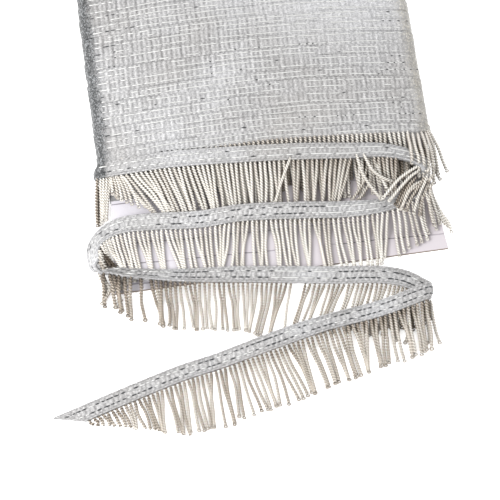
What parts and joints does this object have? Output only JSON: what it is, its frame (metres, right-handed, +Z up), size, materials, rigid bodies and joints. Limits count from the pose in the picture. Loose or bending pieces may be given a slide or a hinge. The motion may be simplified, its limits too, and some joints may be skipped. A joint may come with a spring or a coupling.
{
  "type": "roll of bullion fringe",
  "caption": "Flat winding of silver bullion fringe on a thin card, with its loose end laid in a zig-zag and cut on the slant.",
  "frame": {"origin": "centre of the winding's flat underside, on the ground", "axes": "+X along the rows, +Y from the loose end towards the far end of the winding, +Z up through its thickness"},
  "size_m": [0.171, 0.2948, 0.0171],
  "materials": {
    "heading_metal_thread": "woven metal thread, satin",
    "bullion_strand": "twisted metal cord, satin",
    "card_paper": null
  },
  "bodies": {
    "root": {"wound_roll": "heading_metal_thread", "winding_card": "card_paper", "tail_heading": "heading_metal_thread", "skirt_last_turn": "bullion_strand", "tail_fringe_run_1": "bullion_strand", "tail_fringe_run_2": "bullion_strand", "tail_fringe_run_3": "bullion_strand", "tail_fringe_run_4": "bullion_strand"}
  },
  "joints": []
}
